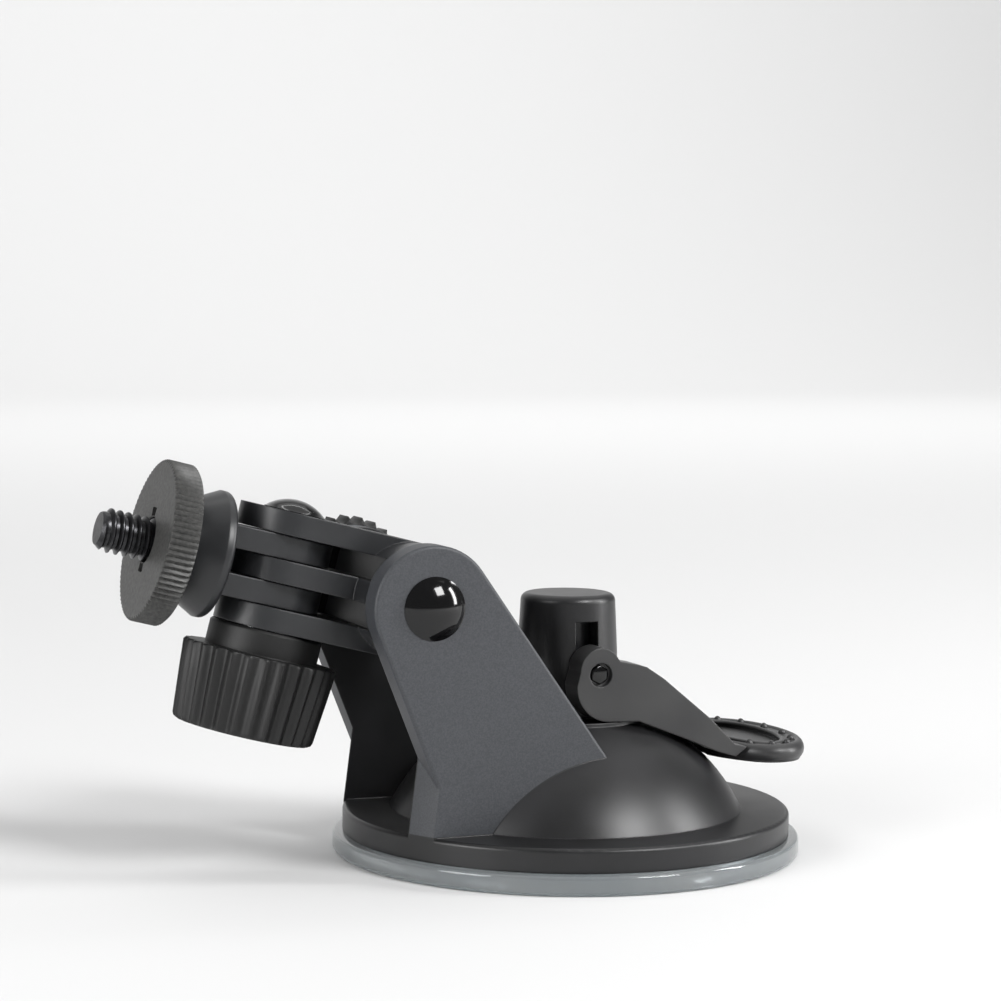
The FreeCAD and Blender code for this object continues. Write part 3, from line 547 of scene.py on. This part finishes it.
def make_swivel_grip():
    flute = 0.75
    rings = [
        (SHANK_ROOM, GRIP_LOW + 1.0, 0),
        (SHANK_ROOM, COLLAR_TOP, 0),
        (COLLAR_RADIUS - 0.3, COLLAR_TOP, 0),
        (COLLAR_RADIUS, COLLAR_TOP - 0.3, 0),
        (COLLAR_RADIUS, GRIP_TOP, 0),
        (10.6, GRIP_TOP, 0),
        (11.15, GRIP_TOP - 0.06, flute * 0.6),
        (11.4, GRIP_TOP - 0.35, flute),
        (11.05, GRIP_TOP - 4.5, flute),
        (10.45, GRIP_LOW + 0.7, flute),
        (10.25, GRIP_LOW + 0.25, flute * 0.8),
        (9.8, GRIP_LOW, 0.1),
        (9.0, GRIP_LOW, 0),
        (0, GRIP_LOW, 0),
        (0, GRIP_LOW + 1.0, 0),
    ]
    return fluted(rings, FLUTE_COUNT, round_flute, steps=8)


grip_bm = make_swivel_grip()
seat("swivel_grip", grip_bm, ON_SWIVEL, grip_abs, "swivel_grip", ["swivel_knob"])

# %% Tilt wheel
WHEEL_LOW, WHEEL_HIGH, WHEEL_RADIUS = -23.6, -18.55, 10.2
NUT_ROOM, WASHER_ROOM, WASHER_DEPTH = 4.65, 5.7, 1.0


def make_tilt_wheel():
    dip = 0.95
    rings = [
        (WASHER_ROOM, WHEEL_HIGH, 0),
        (8.8, WHEEL_HIGH, 0),
        (9.7, WHEEL_HIGH - 0.1, dip * 0.6),
        (WHEEL_RADIUS, WHEEL_HIGH - 0.5, dip),
        (WHEEL_RADIUS, WHEEL_LOW + 0.5, dip),
        (9.8, WHEEL_LOW + 0.1, dip * 0.7),
        (8.6, WHEEL_LOW, 0),
        (7.9, WHEEL_LOW, 0),
        (7.6, WHEEL_LOW + 0.5, 0),
        (5.3, WHEEL_LOW + 0.5, 0),
        (5.0, WHEEL_LOW + 0.2, 0),
        (NUT_ROOM, WHEEL_LOW + 0.2, 0),
        (NUT_ROOM, WHEEL_HIGH - WASHER_DEPTH, 0),
        (WASHER_ROOM, WHEEL_HIGH - WASHER_DEPTH, 0),
    ]
    return fluted(rings, FLUTE_COUNT, cusped, steps=8)


seat("tilt_wheel", make_tilt_wheel(), ON_TILT, grip_abs, "tilt_wheel", ["tilt_knob"])

# %% [markdown]
# ## Bolt heads
# The two bolts have low domed heads under a gloss black coat. A dome shows every flat of a coarse
# mesh in its highlight, so it is turned from a true arc in fine steps.


# %% Domed bolts
def make_bolt(seat_height, reach):
    """A domed bolt whose head sits at seat_height and whose shank ends at reach, in mm."""
    head, rise, shank = 4.6, 1.9, 2.5
    crown = (head**2 + rise**2) / (2 * rise)
    half = math.degrees(math.asin(head / crown))
    rim_angle, steps = 4, 14
    dome = arc((0, seat_height + rise - crown), crown, 90 - half + rim_angle, 90, steps)
    skirt = [(head - 0.12, seat_height), (head, seat_height + 0.1)]
    return turn([(0, reach), (shank, reach), (shank, seat_height)] + skirt + dome)


EAR_OUTER, TILT_BOLT_END = 18.35, -23.4
ARM_TOP, SWIVEL_BOLT_END = 8.6, -20.0
bolt_bm = make_bolt(EAR_OUTER, TILT_BOLT_END)
seat("tilt_bolt_domed", bolt_bm, ON_TILT, gloss_black, "base", ["tilt_bolt"])
bolt_bm = make_bolt(ARM_TOP, SWIVEL_BOLT_END)
seat("swivel_bolt_domed", bolt_bm, ON_SWIVEL, gloss_black, "arm", ["swivel_bolt"])

# %% [markdown]
# ## The clear cup
# Only the rim shows, past the flange, but light runs through the whole disc. The rim stays put. The
# web inside it is a second piece with a mesh of its own. The real web flattens when the stem drops,
# but here it keeps its drawn shape.

# %% Cup
RIM_IN, RIM_LOW, RIM_HIGH = 25.0, 1.3, 3.0
WEB_FLAT, WEB_LOW, WEB_HIGH, WEB_GAP = 9.0, 3.3, 5.45, 0.02
AS_DRAWN = Matrix.Identity(4)


def make_cup_rim():
    section = [(RIM_IN, RIM_LOW), (32.4, 0.25)]
    section += arc((33.0, 0.3), 0.3, 200, 270, 3)
    section += arc((34.9, 0.6), 0.6, -90, 0, 5)
    section += arc((34.95, 2.35), 0.55, 0, 80, 5)
    section += [(34.3, RIM_HIGH), (RIM_IN, RIM_HIGH)]
    return turn(section, 160)


def make_cup_web():
    edge = RIM_IN - WEB_GAP
    section = [(0, WEB_LOW), (WEB_FLAT, WEB_LOW), (edge, RIM_LOW)]
    section += [(edge, RIM_HIGH), (WEB_FLAT, WEB_HIGH), (0, WEB_HIGH)]
    return turn(section, 96)


seat("cup_rim", make_cup_rim(), AS_DRAWN, clear_pvc, "base", ["suction_cup"])
cup_web = seat("cup_web", make_cup_web(), AS_DRAWN, clear_pvc, "base")
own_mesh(cup_web)

# %% [markdown]
# ## Grip dots on the lever
# Thirteen small raised dots stand round the dish of the paddle, so that a thumb doesn't slip.

# %% Dots
PADDLE_CENTRE, PADDLE_TOP = 29.6, 16.0


def make_dots():
    bm = bmesh.new()
    count, half, wide = 13, 6.2, 12.45
    for index in range(count):
        angle = math.tau * (index + 0.5) / count
        across, along = half * math.cos(angle), wide * math.sin(angle)
        place = Vector((PADDLE_CENTRE + across, along, PADDLE_TOP)) * MM
        made = bmesh.ops.create_uvsphere(bm, u_segments=16, v_segments=8, radius=0.6 * MM)
        bmesh.ops.scale(bm, vec=(1, 1, 1.3), verts=made["verts"])
        bmesh.ops.translate(bm, vec=place, verts=made["verts"])
    return bm


seat("lever_grip_dots", make_dots(), AS_DRAWN, lever_abs, "lever")

# %% [markdown]
# ## The paddle's rim
# The thumb's side of the paddle has a rounded bead round its edge and a thin raised line round the
# dish, with the dots in the channel between. An oval bead is a ring spun about Z, then scaled.

# %% Beads on the paddle
def add_bead(bm, half, wide, tube, rise, height):
    """An oval bead, in mm. half and wide reach its middle line, tube by rise is half a section."""
    made = bmesh.ops.create_circle(bm, segments=16, radius=tube * MM)
    upright = Matrix.Rotation(math.pi / 2, 3, "X")
    bmesh.ops.rotate(bm, verts=made["verts"], cent=(0, 0, 0), matrix=upright)
    bmesh.ops.scale(bm, vec=(1, 1, rise / tube), verts=made["verts"])
    bmesh.ops.translate(bm, verts=made["verts"], vec=(half * MM, 0, 0))
    before = set(bm.verts) - set(made["verts"])
    bmesh.ops.spin(
        bm,
        geom=made["verts"] + list({edge for vert in made["verts"] for edge in vert.link_edges}),
        cent=(0, 0, 0),
        axis=(0, 0, 1),
        dvec=(0, 0, 0),
        angle=math.tau,
        steps=96,
        use_merge=True,
        use_duplicate=False,
    )
    ring = [vert for vert in bm.verts if vert not in before]
    bmesh.ops.scale(bm, vec=(1, wide / half, 1), verts=ring)
    bmesh.ops.translate(bm, verts=ring, vec=(PADDLE_CENTRE * MM, 0, height * MM))


rim_bm = bmesh.new()
add_bead(rim_bm, half=7.45, wide=13.5, tube=0.8, rise=1.35, height=14.95)
add_bead(rim_bm, half=4.75, wide=11.35, tube=0.35, rise=0.35, height=PADDLE_TOP)
seat("paddle_rim", rim_bm, AS_DRAWN, lever_abs, "lever")

# %% [markdown]
# ## The lever's pin
# The pin's ends are small hexagons sunk in the hubs. Each is a short six-sided prism with its outer
# edge bevelled, on a plain round rod.

# %% Pin
def make_pin():
    half, floor, radius = 12.1, 11.6, 1.5
    bm = bmesh.new()
    straight = {"cap_ends": True, "radius1": radius * MM, "radius2": radius * MM}
    bmesh.ops.create_cone(bm, segments=32, depth=2 * floor * MM, **straight)
    for side in (-1, 1):
        made = bmesh.ops.create_cone(bm, segments=6, depth=(half - floor) * MM, **straight)
        bmesh.ops.translate(bm, verts=made["verts"], vec=(0, 0, side * (half + floor) / 2 * MM))
        edges = {edge for vert in made["verts"] for edge in vert.link_edges}
        end = (half - 0.01) * MM
        rim = [edge for edge in edges if all(vert.co.z * side > end for vert in edge.verts)]
        bmesh.ops.bevel(
            bm, geom=rim, offset=0.25 * MM, segments=3, profile=0.5, affect="EDGES", material=-1
        )
    return bm


PIN_HEIGHT = 28.0
ON_PIN = Matrix.Translation((0, 0, PIN_HEIGHT * MM)) @ Matrix.Rotation(math.pi / 2, 4, "X")
seat("lever_pin_hex", make_pin(), ON_PIN, gloss_black, "lever", ["lever_pin"])

# %% [markdown]
# ## Floor, light and camera
# A product table is a sheet of white paper that curves up behind the object, so no line shows where
# floor becomes wall. One wide soft box overhead lights the floor, and one further back lights the
# wall. A small one at the front right draws the bright spots on the bolt and the post, a narrow one
# at the right draws their long edges, and one at the left lights the wheel's face. The room behind
# the camera stays dim, which is what keeps black plastic black.


# %% Paper sweep
def draw_out(bm, row, step):
    """Draws a row of edges out by step, in metres, and returns the row at the far end."""
    grown = bmesh.ops.extrude_edge_only(bm, edges=row)["geom"]
    moved = [item for item in grown if isinstance(item, bmesh.types.BMVert)]
    bmesh.ops.translate(bm, verts=moved, vec=step)
    edges = [item for item in grown if isinstance(item, bmesh.types.BMEdge)]
    return [edge for edge in edges if edge.verts[0] in moved and edge.verts[1] in moved]


def make_sweep():
    half, front, bend, radius, rise = 4.0, -4.0, 1.8, 1.0, 3.0
    bm = bmesh.new()
    ends = [bm.verts.new((side * half, front, 0)) for side in (-1, 1)]
    row = draw_out(bm, [bm.edges.new(ends)], (0, bend - front, 0))
    rolled = bmesh.ops.spin(
        bm,
        geom=row + [vert for edge in row for vert in edge.verts],
        cent=(0, bend, radius),
        axis=(1, 0, 0),
        dvec=(0, 0, 0),
        angle=math.pi / 2,
        steps=24,
        use_merge=False,
        use_duplicate=False,
    )
    row = [item for item in rolled["geom_last"] if isinstance(item, bmesh.types.BMEdge)]
    draw_out(bm, row, (0, 0, rise))
    for face in bm.faces:
        face.smooth = True
    return bm


sweep_mesh = bpy.data.meshes.new("paper_sweep")
sweep_bm = make_sweep()
sweep_bm.to_mesh(sweep_mesh)
sweep_bm.free()
sweep = bpy.data.objects.new("paper_sweep", sweep_mesh)
bpy.context.scene.collection.objects.link(sweep)
paper, paper_shader, _ = new_material("white_paper")
paper_shader.inputs["Base Color"].default_value = linear("#dedede")
paper_shader.inputs["Roughness"].default_value = 0.8
paper_shader.inputs["Specular IOR Level"].default_value = 0.1
sweep_mesh.materials.append(paper)
print("sweep:", len(sweep_mesh.polygons), "faces")

# %% Lights
world = bpy.data.worlds.new("studio")
bpy.context.scene.world = world
world.use_nodes = True
world.node_tree.nodes["Background"].inputs["Color"].default_value = linear("#f4f4f4")
world.node_tree.nodes["Background"].inputs["Strength"].default_value = 0.22
bpy.context.scene.view_settings.view_transform = "Standard"


def soft_box(name, place, aim, size, power):
    """An area light at place, facing aim."""
    light = bpy.data.lights.new(name, "AREA")
    light.shape = "RECTANGLE"
    light.size, light.size_y = size
    light.energy = power
    lamp = bpy.data.objects.new(name, light)
    lamp.location = place
    lamp.rotation_euler = (Vector(aim) - Vector(place)).to_track_quat("-Z", "Y").to_euler()
    bpy.context.scene.collection.objects.link(lamp)


middle = (-0.015, 0, 0.03)  # of the mount
soft_box("overhead_box", (0.0, 0.35, 1.5), (0.0, 0.3, 0.0), (2.4, 1.8), 9.0)
soft_box("backdrop_box", (0.8, 0.9, 1.7), (1.0, 2.8, 0.4), (2.4, 0.8), 44)
soft_box("front_right_box", (0.32, -0.61, 0.58), middle, (0.3, 0.3), 5.5)
soft_box("right_strip", (0.75, -0.31, 0.32), middle, (0.14, 0.5), 5.0)
soft_box("left_box", (-0.85, -0.25, 0.3), middle, (0.4, 0.5), 5)

# %% Camera
LENS, SENSOR, NEAR = 95.9, 36, 0.01
STAND = (-0.1637, -0.36845, 0.08316)
PITCH, ROLL, YAW = 85.707, -0.619, -22.431
camera_data = bpy.data.cameras.new("camera")
camera_data.sensor_width = SENSOR
camera_data.lens = LENS
camera_data.clip_start = NEAR
camera = bpy.data.objects.new("camera", camera_data)
camera.location = STAND
camera.rotation_euler = [math.radians(angle) for angle in (PITCH, ROLL, YAW)]
bpy.context.scene.collection.objects.link(camera)
bpy.context.scene.camera = camera
print("camera:", camera.location, camera_data.lens, "mm")
